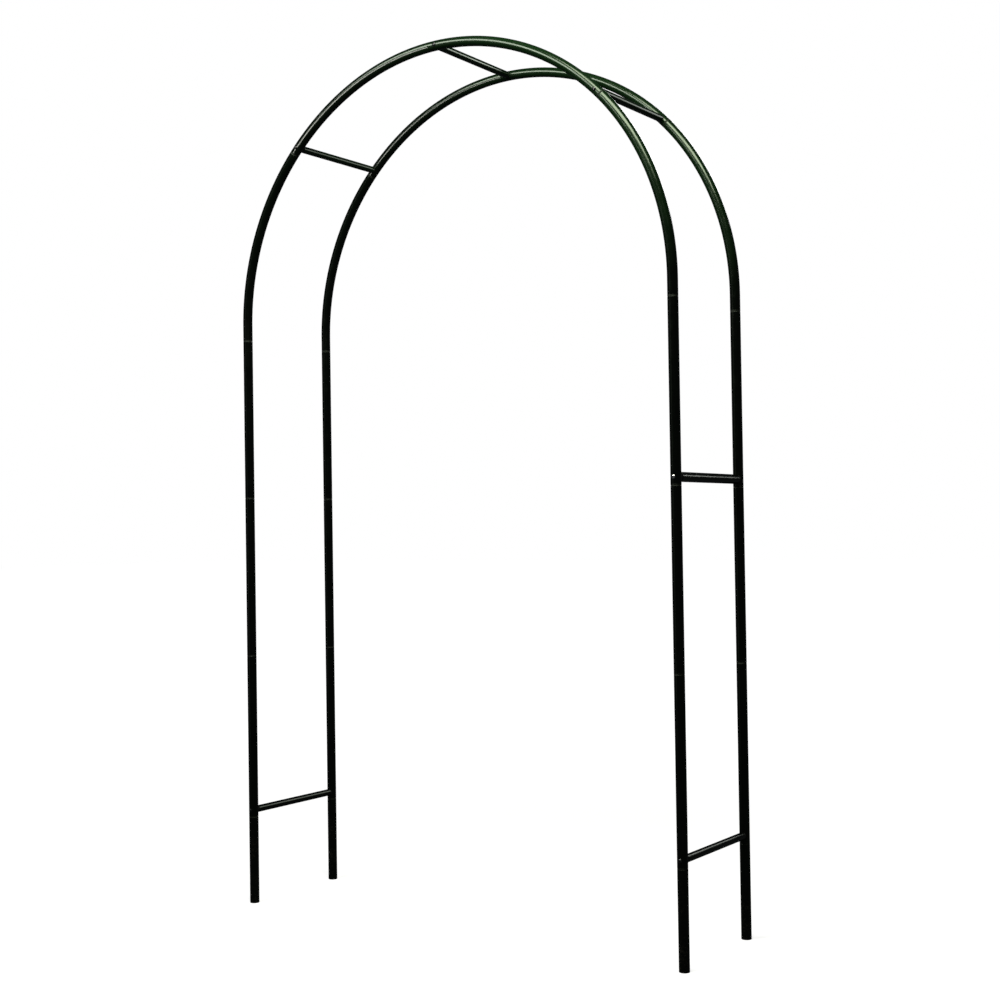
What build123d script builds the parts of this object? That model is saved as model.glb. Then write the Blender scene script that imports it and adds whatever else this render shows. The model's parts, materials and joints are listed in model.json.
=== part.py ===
"""Walk-through garden arch: two tubular steel hoops tied together by six crossbars.

Millimetres, +Z up, X across the walkway, the front hoop on the -Y side. The origin is on the
ground, midway between the four feet. Each hoop plugs together from twelve tubes with swaged
spigots, and every crossbar is held by a screw that goes through each hoop into its end plug.
"""
from math import cos, degrees, radians, sin
import os

from build123d import *

os.makedirs("parts", exist_ok=True)

# Driving dimensions of the arch
overall_height = 2400
hoop_centre_width = 1400
overall_depth = 380
hoop_tube_d = 27
hoop_wall = 0.8
crossbar_d = 20
middle_crossbar_d = 25
crossbar_wall = 0.8
lower_crossbar_height = 270
middle_crossbar_height = 1200
middle_joint_height = 720
shoulder_angle = 45

# Swaged push-fit joints between the hoop tubes
spigot_length = 40
spigot_clearance = 0.1
shoulder_length = 2
spigot_tip_chamfer = 0.5
arc_tail = 45

# M6 button-head screw and its threaded insert
screw_length = 40
screw_shank_r = 2.95
screw_point = 1
screw_hole_r = 3.2
head_r = 5.25
head_height = 3.3
head_rim = 0.6
socket_flats = 4
socket_depth = 2.1
seat_clearance = 0.05
insert_r = 4.5
insert_bore_r = 3.0
insert_length = 14

# Saddle plug in each crossbar end
neck_length = 3
neck_inset = 0.7
barrel_length = 18
barrel_chamfer = 1
plug_bore_r = 3.3
insert_depth = 2.5
saddle_clearance = 0.1
fit_clearance = 0.05
deburr = 0.3

# Ribbed foot plug
foot_flange = 3
foot_round = 1.2
foot_barrel_length = 16
foot_barrel_r = 12.3
foot_rib_r = 12.65
foot_rib_start = 2
foot_rib_thickness = 1.5
foot_rib_pitch = 4.5
foot_cup_r = 10.3
foot_rib_count = 3

# Worked out from the driving dimensions
hoop_r = hoop_tube_d / 2
hoop_bore_r = hoop_r - hoop_wall
spigot_r = hoop_bore_r - spigot_clearance
spigot_bore_r = spigot_r - hoop_wall
arch_r = hoop_centre_width / 2
spring_height = overall_height - hoop_r - arch_r
hoop_y = (overall_depth - hoop_tube_d) / 2
crossbar_seat = hoop_r + neck_length
half_lap = spigot_length / 2
lap_angle = degrees(half_lap / arch_r)
shoulder_turn = degrees(shoulder_length / arch_r)

sides = {"left": -1, "right": 1}
hoops = {"front": -1, "rear": 1}

# Each crossbar: a point on the hoop's centre line, the hoop's direction there, both in X and Z,
# and the crossbar's own diameter. The one at half height is the stoutest.
shoulder = radians(shoulder_angle)
shoulder_x = arch_r * sin(shoulder)
shoulder_z = spring_height + arch_r * cos(shoulder)
crossbars = {
    "crown": ((0, spring_height + arch_r), (1, 0), crossbar_d),
    "left_shoulder": (
        (-shoulder_x, shoulder_z), (cos(shoulder), sin(shoulder)), crossbar_d),
    "right_shoulder": (
        (shoulder_x, shoulder_z), (cos(shoulder), -sin(shoulder)), crossbar_d),
    "right_middle": ((arch_r, middle_crossbar_height), (0, 1), middle_crossbar_d),
    "left_lower": ((-arch_r, lower_crossbar_height), (0, 1), crossbar_d),
    "right_lower": ((arch_r, lower_crossbar_height), (0, 1), crossbar_d),
}


def save(piece, name):
    """Label a finished piece and write it under its own name."""
    piece.label = name
    export_step(piece, f"parts/{name}.step")


def arch_plane(side, angle, y):
    """Cross-section plane of a hoop, at an angle from the crown, facing up the arc."""
    turn = radians(angle)
    return Plane(
        origin=(side * arch_r * sin(turn), y, spring_height + arch_r * cos(turn)),
        x_dir=(side * sin(turn), 0, cos(turn)),
        z_dir=(-side * cos(turn), 0, sin(turn)),
    )


def crossbar_plane(name, end=0):
    """Plane across a crossbar: at mid-span, or on a hoop's centre line and facing inwards."""
    (x, z), (along_x, along_z), _ = crossbars[name]
    return Plane(
        origin=(x, end * hoop_y, z),
        x_dir=(along_x, 0, along_z),
        z_dir=(0, -end if end else 1, 0),
    )


def drill(x, y, z):
    """Screw clearance hole through the hoop tube that is being built, along Y."""
    with BuildSketch(Plane.XZ.offset(-y)) as hole:
        with Locations((x, z)):
            Circle(screw_hole_r)
    extrude(hole.sketch, amount=hoop_tube_d, both=True, mode=Mode.SUBTRACT)


def leg_tube(name, x, y, bottom, top, spigot=True, screws=()):
    """Straight tube with a plain lower end, which carries the next tube on a swaged spigot."""
    tip = top + spigot_length
    with BuildPart() as tube:
        with BuildSketch(Plane((x, y, 0), x_dir=(1, 0, 0), z_dir=(0, -1, 0))):
            with BuildLine():
                Polyline(
                    (hoop_bore_r, bottom),
                    (hoop_r, bottom),
                    (hoop_r, top - shoulder_length),
                    (spigot_r, top),
                    (spigot_r, tip - spigot_tip_chamfer),
                    (spigot_r - spigot_tip_chamfer, tip),
                    (spigot_bore_r, tip),
                    (spigot_bore_r, top),
                    (hoop_bore_r, top - shoulder_length),
                    close=True,
                )
            make_face()
        revolve(axis=Axis((x, y, 0), (0, 0, 1)))
        for height in screws:
            drill(x, y, height)
    save(tube.part, name)


def ring(plane, outer_r, inner_r):
    """Tube section on a plane."""
    with BuildSketch(plane) as section:
        Circle(outer_r)
        Circle(inner_r, mode=Mode.SUBTRACT)
    return section.sketch


def arc_tube(name, side, y, start, end, tail, spigot, screw_angles):
    """Bent tube from one angle up to another, with an optional straight tail and spigot."""
    axis = Axis((0, y, spring_height), (0, -side, 0))
    body_end = end + shoulder_turn if spigot else end
    with BuildPart() as tube:
        foot_end = ring(arch_plane(side, start, y), hoop_r, hoop_bore_r)
        revolve(foot_end, axis=axis, revolution_arc=start - body_end)
        if tail:
            extrude(foot_end, amount=-tail)
        if spigot:
            with BuildSketch(arch_plane(side, body_end, y)):
                Circle(hoop_r)
            with BuildSketch(arch_plane(side, end, y)):
                Circle(spigot_r)
            loft()
            with BuildSketch(arch_plane(side, body_end, y)):
                Circle(hoop_bore_r)
            with BuildSketch(arch_plane(side, end, y)):
                Circle(spigot_bore_r)
            loft(mode=Mode.SUBTRACT)
            neck = ring(arch_plane(side, end, y), spigot_r, spigot_bore_r)
            revolve(neck, axis=axis, revolution_arc=2 * lap_angle)
        for angle in screw_angles:
            hole = arch_plane(side, angle, y).origin
            drill(hole.X, y, hole.Z)
    save(tube.part, name)


# Hoops: four straight tubes and two bent tubes on each side
for hoop_name, hoop in hoops.items():
    y = hoop * hoop_y
    for side_name, side in sides.items():
        corner = f"{hoop_name}_{side_name}"
        x = side * arch_r
        foot_joint = lower_crossbar_height - half_lap
        upper_joint = middle_crossbar_height - half_lap
        arc_joint = spring_height - arc_tail
        middle_screws = [middle_crossbar_height] if side_name == "right" else []
        leg_tube(f"{corner}_foot_tube", x, y, foot_flange, foot_joint,
                 screws=[lower_crossbar_height])
        leg_tube(f"{corner}_lower_leg_tube", x, y, foot_joint, middle_joint_height,
                 screws=[lower_crossbar_height])
        leg_tube(f"{corner}_middle_leg_tube", x, y, middle_joint_height, upper_joint,
                 screws=middle_screws)
        leg_tube(f"{corner}_upper_leg_tube", x, y, upper_joint, arc_joint,
                 screws=middle_screws)
        arc_tube(f"{corner}_lower_arc_tube", side, y, 90, shoulder_angle + lap_angle,
                 tail=arc_tail, spigot=True, screw_angles=[shoulder_angle])
        crown_spigot = side_name == "left"
        crown_end = lap_angle if crown_spigot else -lap_angle
        arc_tube(f"{corner}_upper_arc_tube", side, y, shoulder_angle + lap_angle, crown_end,
                 tail=0, spigot=crown_spigot, screw_angles=[shoulder_angle, 0])

# Foot plugs: a ribbed cup pushed into each foot, with a rounded flange on the ground
for hoop_name, hoop in hoops.items():
    for side_name, side in sides.items():
        foot = Plane((side * arch_r, hoop * hoop_y, 0))
        with BuildPart(foot) as foot_plug:
            with BuildSketch(foot):
                Circle(hoop_r)
            extrude(amount=foot_flange)
            fillet(foot_plug.edges().group_by(Axis.Z)[0], foot_round)
            with BuildSketch(foot.offset(foot_flange)):
                Circle(foot_barrel_r)
            extrude(amount=foot_barrel_length)
            for rib in range(foot_rib_count):
                rib_height = foot_flange + foot_rib_start + rib * foot_rib_pitch
                with BuildSketch(foot.offset(rib_height)):
                    Circle(foot_rib_r)
                extrude(amount=foot_rib_thickness)
            with BuildSketch(foot.offset(foot_flange)):
                Circle(foot_cup_r)
            extrude(amount=foot_barrel_length, mode=Mode.SUBTRACT)
        save(foot_plug.part, f"{hoop_name}_{side_name}_foot_plug")

# Crossbars: plain tubes, cut square and deburred
for bar_name, (_, _, bar_d) in crossbars.items():
    bar_bore_r = bar_d / 2 - crossbar_wall
    with BuildPart() as crossbar:
        section = ring(crossbar_plane(bar_name), bar_d / 2, bar_bore_r)
        extrude(section, amount=hoop_y - crossbar_seat, both=True)
        cut_ends = crossbar.edges().filter_by(GeomType.CIRCLE)
        chamfer([edge for edge in cut_ends if edge.radius > bar_bore_r], deburr)
    save(crossbar.part, f"{bar_name}_crossbar")

# Saddle plugs and screws, one of each where a crossbar meets a hoop
for bar_name, (_, _, bar_d) in crossbars.items():
    for hoop_name, hoop in hoops.items():
        seat = crossbar_plane(bar_name, hoop)
        inwards = Axis(seat.origin, seat.z_dir)
        with BuildPart(seat) as saddle_plug:
            with BuildSketch(seat):
                Circle(bar_d / 2 - neck_inset)
            extrude(amount=crossbar_seat)
            with BuildSketch(seat.offset(crossbar_seat)):
                Circle(bar_d / 2 - crossbar_wall - fit_clearance)
            extrude(amount=barrel_length)
            chamfer(saddle_plug.edges().sort_by(inwards)[-1], barrel_chamfer)
            with BuildSketch(seat):
                Circle(plug_bore_r)
            extrude(amount=crossbar_seat + barrel_length, mode=Mode.SUBTRACT)
            with BuildSketch(seat.offset(crossbar_seat + insert_depth)):
                Circle(insert_r + fit_clearance)
            extrude(amount=barrel_length, mode=Mode.SUBTRACT)
            with BuildSketch(Plane(seat.origin, x_dir=seat.y_dir, z_dir=seat.x_dir)):
                Circle(hoop_r + saddle_clearance)
            extrude(amount=hoop_tube_d, both=True, mode=Mode.SUBTRACT)
        save(saddle_plug.part, f"{bar_name}_{hoop_name}_saddle_plug")

        head_seat = -hoop_r - seat_clearance
        with BuildPart(seat) as screw:
            with BuildSketch(Plane(seat.origin, x_dir=seat.x_dir, z_dir=-seat.y_dir)):
                with BuildLine():
                    crest = (0, head_seat - head_height)
                    rim = (head_r, head_seat - head_rim)
                    TangentArc(crest, rim, tangent=(1, 0))
                    Polyline(
                        rim,
                        (head_r, head_seat),
                        (screw_shank_r, head_seat),
                        (screw_shank_r, head_seat + screw_length - screw_point),
                        (screw_shank_r - screw_point, head_seat + screw_length),
                        (0, head_seat + screw_length),
                        crest,
                    )
                make_face()
            revolve(axis=inwards)
            with BuildSketch(seat.offset(head_seat - head_height)):
                RegularPolygon(socket_flats / 2, 6, major_radius=False)
            extrude(amount=socket_depth, mode=Mode.SUBTRACT)
        save(screw.part, f"{bar_name}_{hoop_name}_screw")

# Threaded inserts: identical steel bushes, one inside every saddle plug
with BuildPart() as threaded_inserts:
    for bar_name in crossbars:
        for hoop in hoops.values():
            pocket = crossbar_plane(bar_name, hoop).offset(crossbar_seat + insert_depth)
            extrude(ring(pocket, insert_r, insert_bore_r), amount=insert_length)
save(threaded_inserts.part, "threaded_inserts")
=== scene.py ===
"""Garden arch of coated steel tube: its finishes and a plain studio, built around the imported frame."""
import json
from math import acos, pi, radians

import bpy
from mathutils import Matrix, Vector


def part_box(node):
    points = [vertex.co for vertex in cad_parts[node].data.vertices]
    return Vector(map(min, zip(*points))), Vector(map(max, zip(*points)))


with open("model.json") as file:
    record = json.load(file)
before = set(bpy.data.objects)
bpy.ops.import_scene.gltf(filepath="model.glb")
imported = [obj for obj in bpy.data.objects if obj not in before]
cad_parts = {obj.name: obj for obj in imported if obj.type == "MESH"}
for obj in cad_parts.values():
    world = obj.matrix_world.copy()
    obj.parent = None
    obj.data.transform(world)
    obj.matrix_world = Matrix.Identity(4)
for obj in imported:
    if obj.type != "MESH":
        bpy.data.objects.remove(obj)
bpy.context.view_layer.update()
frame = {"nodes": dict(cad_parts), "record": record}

# Camera: in front and to the right, a little under half the arch's height up, looking almost level
CAMERA_AZIMUTH = 33.83
CAMERA_ELEVATION = -1.06
CAMERA_ROLL = -0.87
CAMERA_DISTANCE = 4.294
CAMERA_TARGET = Vector((0.065, 0.0, 1.159))
CAMERA_LENS_MM = 56.1


# ---------------------------------------------------------------- places read from the frame

def measure_arch():
    """Centre lines of the hoops, from the boxes of the tubes that the CAD gives."""
    leg_low, leg_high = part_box("front_right_upper_leg_tube")
    arc_low, arc_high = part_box("front_right_upper_arc_tube")
    tube_radius = (leg_high.x - leg_low.x) / 2
    half_width = (leg_low.x + leg_high.x) / 2
    top = arc_high.z - tube_radius
    return {
        "tube_radius": tube_radius,
        "half_width": half_width,
        "half_depth": abs(leg_low.y + leg_high.y) / 2,
        "spring": top - half_width,
    }


def seam_lengths(arch):
    """Length along a hoop's centre line from the ground to each joint on a leg and at the shoulder."""
    names = ("lower_leg_tube", "middle_leg_tube", "upper_leg_tube", "lower_arc_tube")
    seams = [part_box("front_right_" + name)[0].z for name in names]
    inner_radius = arch["half_width"] - arch["tube_radius"]
    shoulder_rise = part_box("front_right_upper_arc_tube")[0].z - arch["spring"]
    from_crown = acos(shoulder_rise / inner_radius)
    seams.append(arch["spring"] + arch["half_width"] * (pi / 2 - from_crown))
    return seams


# ---------------------------------------------------------------- finishes

class Finish:
    """A node material being put together around its Principled shader. All lengths are in metres."""

    def __init__(self, name, **sockets):
        self.material = bpy.data.materials.new(name)
        self.material.use_nodes = True
        self.nodes = self.material.node_tree.nodes
        self.links = self.material.node_tree.links
        self.shader = self.nodes["Principled BSDF"]
        self.place = self.nodes.new("ShaderNodeTexCoord").outputs["Object"]
        for socket, value in sockets.items():
            self.shader.inputs[socket.replace("_", " ")].default_value = value

    def put(self, socket, value):
        """A plain value is set on the socket, and a node's output is linked to it."""
        if isinstance(value, bpy.types.NodeSocket):
            self.links.new(value, socket)
        else:
            socket.default_value = value

    def math(self, operation, first, second=0.0):
        node = self.nodes.new("ShaderNodeMath")
        node.operation = operation
        self.put(node.inputs[0], first)
        self.put(node.inputs[1], second)
        return node.outputs[0]

    def split(self, vector):
        node = self.nodes.new("ShaderNodeSeparateXYZ")
        self.put(node.inputs[0], vector)
        return node.outputs

    def join(self, x, y, z):
        node = self.nodes.new("ShaderNodeCombineXYZ")
        for socket, value in zip(node.inputs, (x, y, z)):
            self.put(socket, value)
        return node.outputs[0]

    def noise(self, size, where=None, detail=3.0, rough=0.55):
        """Cloudy pattern whose features are about this size."""
        node = self.nodes.new("ShaderNodeTexNoise")
        self.put(node.inputs["Vector"], where or self.place)
        node.inputs["Scale"].default_value = 1 / size
        node.inputs["Detail"].default_value = detail
        node.inputs["Roughness"].default_value = rough
        return node.outputs["Fac"]

    def cells(self, size):
        """Distance from scattered points about this far apart."""
        node = self.nodes.new("ShaderNodeTexVoronoi")
        self.put(node.inputs["Vector"], self.place)
        node.inputs["Scale"].default_value = 1 / size
        return node.outputs["Distance"]

    def ramp(self, value, start, end, low=0.0, high=1.0):
        """Smooth change from low to high while the value goes from start to end."""
        node = self.nodes.new("ShaderNodeMapRange")
        node.interpolation_type = "SMOOTHSTEP"
        self.put(node.inputs["Value"], value)
        for socket, number in zip(("From Min", "From Max", "To Min", "To Max"), (start, end, low, high)):
            node.inputs[socket].default_value = number
        return node.outputs["Result"]

    def blend(self, factor, first, second):
        """Colour between two, each a colour or another blend."""
        node = self.nodes.new("ShaderNodeMix")
        node.data_type = "RGBA"
        self.put(node.inputs[0], factor)
        colour_sockets = node.inputs[6:8]
        for socket, colour in zip(colour_sockets, (first, second)):
            self.put(socket, colour if isinstance(colour, bpy.types.NodeSocket) else (*colour, 1))
        return node.outputs[2]

    def relief(self, *layers):
        """Bumps laid over each other, each a pattern and its height in metres."""
        normal = None
        for pattern, height in layers:
            node = self.nodes.new("ShaderNodeBump")
            node.inputs["Distance"].default_value = height
            self.put(node.inputs["Height"], pattern)
            if normal:
                self.put(node.inputs["Normal"], normal)
            normal = node.outputs[0]
        self.put(self.shader.inputs["Normal"], normal)


def tube_places(finish, arch):
    """Length along a hoop from the ground, and angle round its tube with 0 facing outward, in nodes."""
    x, y, z = finish.split(finish.place)
    rise = finish.math("MAXIMUM", finish.math("SUBTRACT", z, arch["spring"]), 0.0)
    reach = finish.math("ABSOLUTE", x)
    turn = finish.math("ARCTAN2", rise, reach)
    along = finish.math("ADD", finish.math("MINIMUM", z, arch["spring"]),
                        finish.math("MULTIPLY", turn, arch["half_width"]))
    radial = finish.math("SQRT", finish.math("ADD", finish.math("MULTIPLY", reach, reach),
                                             finish.math("MULTIPLY", rise, rise)))
    outward = finish.math("SUBTRACT", radial, arch["half_width"])
    sideways = finish.math("SUBTRACT", finish.math("ABSOLUTE", y), arch["half_depth"])
    return along, finish.math("ARCTAN2", sideways, outward)


def near_any(finish, value, marks, reach):
    """1 at any of the marks, falling to 0 at this distance from them."""
    total = 0.0
    for mark in marks:
        distance = finish.math("ABSOLUTE", finish.math("SUBTRACT", value, mark))
        total = finish.math("MAXIMUM", total, finish.ramp(distance, 0.0, reach, 1.0, 0.0))
    return total


# Colours of the coat, of the painted light on it, and of what settles on it
BLACK_GREEN = (0.0008, 0.0010, 0.0008)
# Painted light: the green of the coat where light falls on it
PAINTED_LIGHT_GREEN = (0.0038, 0.0165, 0.0036)
GLOSS_TINT = (0.84, 1.0, 0.76, 1)
GRIME = (0.0035, 0.0032, 0.0028)
SOIL_DUST = (0.075, 0.062, 0.045)

# Its patterns, in metres: sizes and heights on the object, and heights of bumps
RUN_WIDTH = 0.0022
PEEL_SIZE = 0.0024
PEEL_HEIGHT = 0.000008
RUN_HEIGHT = 0.000006
WELD_HEIGHT = 0.00003
GRIME_REACH = 0.004
DUST_TOP = 0.32
# Height where the painted light starts, and how far its edge wanders
PAINTED_LIGHT_FROM = 1.75
PAINTED_LIGHT_RIPPLE = 0.25

# Width of a run mark over its length
RUN_ASPECT = 0.04

# Least and most roughness of the clean coat
COAT_ROUGHNESS = (0.15, 0.24)


def coat_colour(finish, painted_light, runs):
    """Near-black green, painted greener where the painted light falls, and a little greener along each
    run.
    """
    # Painted light, together with the real greener runs, sets how far the coat goes green
    painted_light_and_runs = finish.math("MAXIMUM", painted_light, finish.ramp(runs, 0.45, 0.8, 0.0, 0.15))
    return finish.blend(painted_light_and_runs, BLACK_GREEN, PAINTED_LIGHT_GREEN)


def coat_roughness(finish, patch_size):
    """Roughness of the clean coat, a little different from patch to patch."""
    return finish.ramp(finish.noise(patch_size, detail=4), 0.35, 0.7, *COAT_ROUGHNESS)


def coat_tubes(arch, seams):
    """Glossy green-black powder coat on the hoops, painted greener at the top right as painted light:
    orange peel, run marks, grimy joints, dusty feet.
    """
    finish = Finish("tube_coat", IOR=1.5, Specular_Tint=GLOSS_TINT)
    along, around = tube_places(finish, arch)
    x, _, z = finish.split(finish.place)
    girth = finish.math("MULTIPLY", around, arch["tube_radius"])
    lengthwise = finish.join(finish.math("MULTIPLY", along, RUN_ASPECT), girth, 0.0)

    # Painted light: greener towards the top and the right, where light falls, and a little greener along
    # the runs
    cloud = finish.noise(0.09)
    ripple = finish.math("MULTIPLY", cloud, PAINTED_LIGHT_RIPPLE)
    height = finish.ramp(finish.math("ADD", z, ripple), PAINTED_LIGHT_FROM, 2.2)
    painted_light_right = finish.ramp(finish.math("ADD", x, ripple), -0.35, 0.45, 0.1, 1.0)
    runs = finish.noise(RUN_WIDTH, lengthwise, detail=2)
    colour = coat_colour(finish, finish.math("MULTIPLY", height, painted_light_right), runs)

    grime = near_any(finish, along, seams, GRIME_REACH)
    colour = finish.blend(finish.math("MULTIPLY", grime, 0.8), colour, GRIME)

    low = finish.ramp(z, 0.02, DUST_TOP, 1.0, 0.0)
    settled = finish.math("MULTIPLY", low, finish.ramp(cloud, 0.35, 0.65))
    specks = finish.ramp(finish.noise(0.006, detail=4, rough=0.7), 0.48, 0.66)
    dust = finish.math("MULTIPLY", settled, specks)
    colour = finish.blend(finish.math("MULTIPLY", dust, 0.30), colour, SOIL_DUST)
    finish.put(finish.shader.inputs["Base Color"], colour)

    # Duller where dusty or grimy, and on the runs
    rough = finish.math("ADD", coat_roughness(finish, 0.035), finish.math("MULTIPLY", dust, 0.35))
    rough = finish.math("ADD", rough, finish.math("MULTIPLY", grime, 0.65))
    rough = finish.math("ADD", rough, finish.math("MULTIPLY", finish.ramp(runs, 0.5, 0.75), 0.06))
    finish.put(finish.shader.inputs["Roughness"], rough)

    from_inside = finish.math("SUBTRACT", finish.math("ABSOLUTE", around), pi)
    weld = finish.ramp(finish.math("ABSOLUTE", from_inside), 0.0, 0.12, 1.0, 0.0)
    peel = finish.noise(PEEL_SIZE, detail=1)
    finish.relief((peel, PEEL_HEIGHT), (runs, RUN_HEIGHT), (weld, WELD_HEIGHT))
    return finish.material


def coat_crossbars():
    """The same powder coat on the straight crossbars, with the runs along them and painted light
    greening them towards the top.
    """
    finish = Finish("crossbar_coat", IOR=1.5, Specular_Tint=GLOSS_TINT)
    x, y, z = finish.split(finish.place)
    lengthwise = finish.join(x, finish.math("MULTIPLY", y, RUN_ASPECT), z)
    # Painted light: greener towards the top, where light falls
    ripple = finish.math("MULTIPLY", finish.noise(0.06), PAINTED_LIGHT_RIPPLE)
    height = finish.ramp(finish.math("ADD", z, ripple), PAINTED_LIGHT_FROM, 2.3, 0.0, 0.7)
    runs = finish.noise(RUN_WIDTH, lengthwise, detail=2)
    finish.put(finish.shader.inputs["Base Color"], coat_colour(finish, height, runs))
    finish.put(finish.shader.inputs["Roughness"], coat_roughness(finish, 0.03))
    finish.relief((finish.noise(PEEL_SIZE, detail=1), PEEL_HEIGHT), (runs, RUN_HEIGHT))
    return finish.material


def mould_plastic():
    """Black polyethylene plugs with a fine spark-eroded grain and paler rubbed patches."""
    finish = Finish("plug_plastic", IOR=1.49)
    grain = finish.cells(0.0009)
    scuff = finish.ramp(finish.noise(0.008, detail=5, rough=0.7), 0.5, 0.7)
    colour = finish.blend(scuff, (0.0085, 0.0088, 0.0090), (0.020, 0.020, 0.019))
    finish.put(finish.shader.inputs["Base Color"], colour)
    finish.put(finish.shader.inputs["Roughness"], finish.ramp(grain, 0.0, 0.6, 0.42, 0.58))
    finish.relief((grain, 0.00008), (finish.noise(0.012), 0.0001))
    return finish.material


def blacken_screws():
    """Black-passivated screws with bright flecks. The pair at hand height has been rubbed bright."""
    finish = Finish("screw_black", IOR=1.6, Coat_Weight=0.5, Coat_Roughness=0.08)
    flecks = finish.ramp(finish.noise(0.0012, detail=5, rough=0.75), 0.56, 0.68)
    tone = finish.noise(0.004)
    dark = finish.blend(tone, (0.016, 0.018, 0.017), (0.040, 0.043, 0.040))
    colour = finish.blend(finish.math("MULTIPLY", flecks, 0.7), dark, (0.34, 0.34, 0.33))

    bar_low, bar_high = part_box("right_middle_crossbar")
    hand_height = (bar_low.z + bar_high.z) / 2
    height = finish.split(finish.place)[2]
    apart = finish.math("ABSOLUTE", finish.math("SUBTRACT", height, hand_height))
    rubbed = finish.ramp(apart, 0.010, 0.020, 1.0, 0.0)
    worn = finish.math("MULTIPLY", rubbed, finish.ramp(tone, 0.3, 0.5, 0.8, 1.0))
    finish.put(finish.shader.inputs["Base Color"], finish.blend(worn, colour, (0.80, 0.79, 0.76)))
    metal = finish.math("MAXIMUM", finish.ramp(flecks, 0.0, 1.0, 0.55, 0.95), rubbed)
    finish.put(finish.shader.inputs["Metallic"], metal)
    finish.put(finish.shader.inputs["Roughness"], finish.ramp(tone, 0.3, 0.7, 0.16, 0.30))
    finish.relief((finish.noise(0.0007, detail=3), 0.00002))
    return finish.material


def plate_inserts():
    """Bright zinc plate with its crystal spangle."""
    finish = Finish("zinc_plate", Metallic=1.0)
    spangle = finish.cells(0.0022)
    film = finish.noise(0.006)
    colour = finish.blend(spangle, (0.52, 0.53, 0.54), (0.68, 0.67, 0.62))
    finish.put(finish.shader.inputs["Base Color"], finish.blend(film, colour, (0.60, 0.60, 0.52)))
    finish.put(finish.shader.inputs["Roughness"], finish.ramp(film, 0.3, 0.7, 0.22, 0.40))
    finish.relief((spangle, 0.00002))
    return finish.material


def dress_frame():
    """Each CAD node takes the finish of its material slot."""
    arch = measure_arch()
    finishes = {
        "coated_tube": coat_tubes(arch, seam_lengths(arch)),
        "coated_crossbar": coat_crossbars(),
        "black_plastic": mould_plastic(),
        "coated_screw": blacken_screws(),
        "zinc_steel": plate_inserts(),
    }
    for part in frame["record"]["subparts"]:
        mesh = frame["nodes"][part["node"]].data
        mesh.materials.clear()
        mesh.materials.append(finishes[part["material_slot"]])


# ---------------------------------------------------------------- studio

ROOM_COLOUR = (0.85, 0.95, 1, 1)
ROOM_BRIGHTNESS = 0.03
FLOOR_SIDE = 80.0
FLOOR_SHADED_TO = 1.0
FLOOR_WHITE_FROM = 4.0
FLOOR_GLOW = 0.75
NEUTRAL = (1, 1, 1)
PINKISH = (1, 0.86, 1)
YELLOWISH = (1, 1, 0.9)


def add_camera():
    """Camera on a sphere around the target, turned slightly about its own line of sight."""
    azimuth = Matrix.Rotation(radians(CAMERA_AZIMUTH), 4, "Z")
    elevation = Matrix.Rotation(radians(90 - CAMERA_ELEVATION), 4, "X")
    roll = Matrix.Rotation(radians(CAMERA_ROLL), 4, "Z")
    turn = azimuth @ elevation @ roll
    back = turn @ Vector((0, 0, 1))
    data = bpy.data.cameras.new("camera")
    data.lens = CAMERA_LENS_MM
    data.sensor_width = 36
    camera = bpy.data.objects.new("camera", data)
    camera.matrix_world = Matrix.Translation(CAMERA_TARGET + CAMERA_DISTANCE * back) @ turn
    bpy.context.scene.collection.objects.link(camera)
    bpy.context.scene.camera = camera


def add_softbox(name, place, aim, size, brightness, tint=NEUTRAL, only=()):
    """Rectangular light at a place, facing a point. Brightness is that of its face, with white at 1.

    Where only some pieces are named, flags keep its light off the others.
    """
    data = bpy.data.lights.new(name, "AREA")
    data.shape = "RECTANGLE"
    data.size, data.size_y = size
    data.energy = brightness * pi * size[0] * size[1]
    data.color = tint
    light = bpy.data.objects.new(name, data)
    light.location = place
    direction = Vector(aim) - Vector(place)
    light.rotation_euler = direction.to_track_quat("-Z", "Y").to_euler()
    bpy.context.scene.collection.objects.link(light)
    if only:
        lit = bpy.data.collections.new(name + "_lit")
        for piece in only:
            lit.objects.link(piece)
        light.light_linking.receiver_collection = lit


def nodes_ending(ending):
    """The CAD nodes whose names end this way."""
    return [node for name, node in frame["nodes"].items() if name.endswith(ending)]


def add_surroundings():
    """White behind the arch, and a dim room for its reflections and shadows."""
    bpy.context.scene.view_settings.view_transform = "Standard"
    world = bpy.data.worlds.new("studio")
    world.use_nodes = True
    bpy.context.scene.world = world
    nodes, links = world.node_tree.nodes, world.node_tree.links
    nodes.clear()
    seen = nodes.new("ShaderNodeBackground")
    seen.inputs["Color"].default_value = (1, 1, 1, 1)
    room = nodes.new("ShaderNodeBackground")
    room.inputs["Color"].default_value = ROOM_COLOUR
    room.inputs["Strength"].default_value = ROOM_BRIGHTNESS
    path = nodes.new("ShaderNodeLightPath")
    choose = nodes.new("ShaderNodeMixShader")
    out = nodes.new("ShaderNodeOutputWorld")
    links.new(path.outputs["Is Camera Ray"], choose.inputs[0])
    links.new(room.outputs[0], choose.inputs[1])
    links.new(seen.outputs[0], choose.inputs[2])
    links.new(choose.outputs[0], out.inputs["Surface"])


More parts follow.
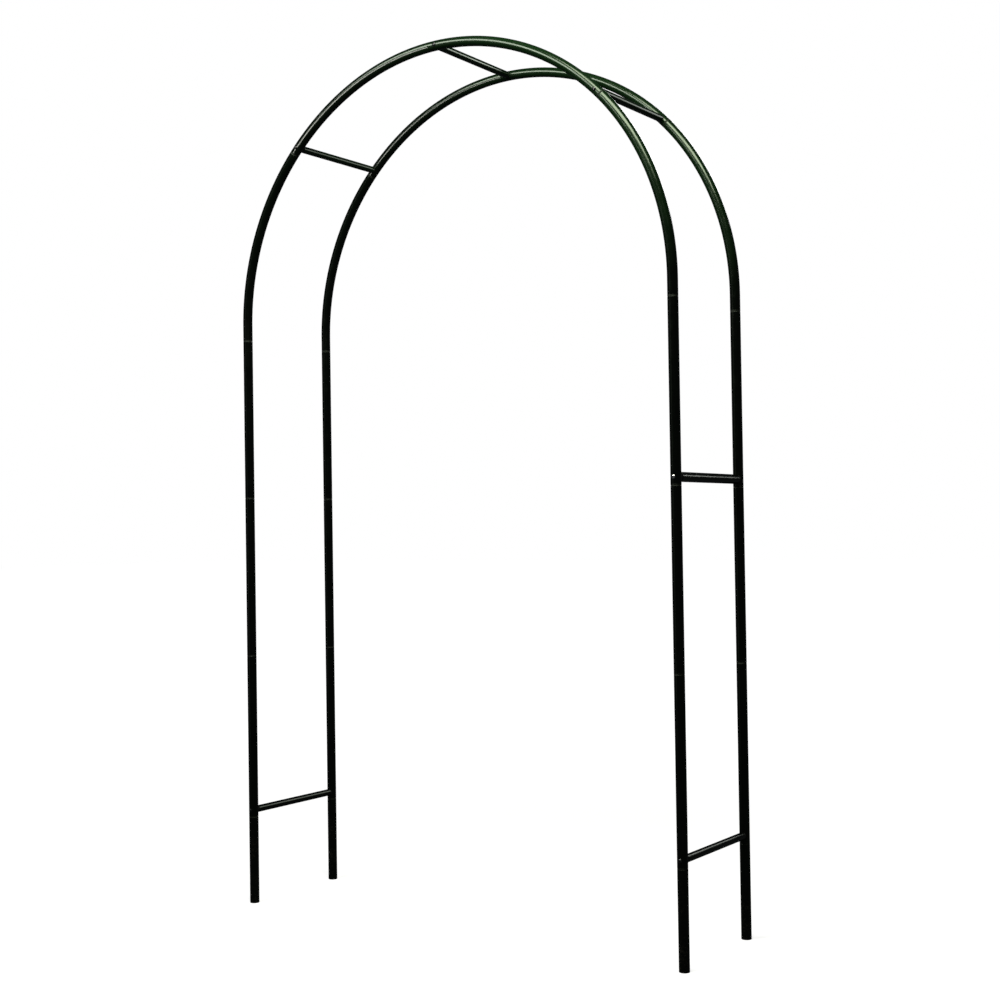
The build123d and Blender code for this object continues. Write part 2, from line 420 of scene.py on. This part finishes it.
def add_floor():
    """Pale matt floor that brightens into the white surroundings away from the arch."""
    mesh = bpy.data.meshes.new("floor")
    half = FLOOR_SIDE / 2
    corners = [(-half, -half, 0), (half, -half, 0), (half, half, 0), (-half, half, 0)]
    mesh.from_pydata(corners, [], [(0, 1, 2, 3)])
    floor = bpy.data.objects.new("floor", mesh)
    bpy.context.scene.collection.objects.link(floor)
    # It lights nothing, and the coat doesn't mirror it
    floor.visible_diffuse = False
    floor.visible_glossy = False
    paint = Finish("floor", Base_Color=(0.8, 0.8, 0.8, 1), Roughness=0.9, Emission_Color=(1, 1, 1, 1))
    length = paint.nodes.new("ShaderNodeVectorMath")
    length.operation = "LENGTH"
    paint.put(length.inputs[0], paint.place)
    glow = paint.ramp(length.outputs["Value"], FLOOR_SHADED_TO, FLOOR_WHITE_FROM, FLOOR_GLOW, 1.0)
    paint.put(paint.shader.inputs["Emission Strength"], glow)
    mesh.materials.append(paint.material)


def add_front_lights():
    """Softboxes that lay one long streak over each hoop, and a faint strip for the left of its legs.

    The coat tints its gloss green, and the left softbox is pinkish to cancel that.
    """
    left_arcs = nodes_ending("left_upper_arc_tube")
    add_softbox("softbox_left", (-1.2, -2.25, 1.9), (-0.3, 0, 2.3), (0.5, 0.5), 17, PINKISH, left_arcs)
    add_softbox("softbox_front", (-0.85, -1.75, 3.1), (0.0, 0, 2.35), (1.2, 0.8), 12)
    add_softbox("softbox_right", (0.9, -1.2, 3.5), (0.4, 0, 2.15), (1.5, 0.9), 13, YELLOWISH)
    add_softbox("strip_left", (-2.4, -3.6, 1.3), (0, 0, 1.3), (0.5, 2.6), 0.35)


def add_rear_lights():
    """Crossbars run front to back, so they mirror only what is behind the arch."""
    crown_bar = nodes_ending("crown_crossbar")
    middle_bar = nodes_ending("middle_crossbar")
    other_bars = [bar for bar in nodes_ending("crossbar") if bar not in middle_bar]
    add_softbox("softbox_behind", (2.2, 4.0, 3.05), (0.3, 0, 1.6), (2.4, 1.3), 2.7, only=other_bars)
    add_softbox("softbox_middle", (2.7, 4.0, 2.4), (0.7, 0, 1.2), (0.45, 0.6), 6, only=middle_bar)
    add_softbox("softbox_crown", (3.1, 4.0, 2.9), (0.2, 0, 2.3), (0.8, 1.4), 5.5, only=crown_bar)
    hoop_tubes = nodes_ending("tube")
    add_softbox("softbox_rear", (0.3, 2.8, 3.3), (0, 0, 2.2), (1.6, 1.0), 7, only=hoop_tubes)


dress_frame()
add_camera()
add_surroundings()
add_floor()
add_front_lights()
add_rear_lights()
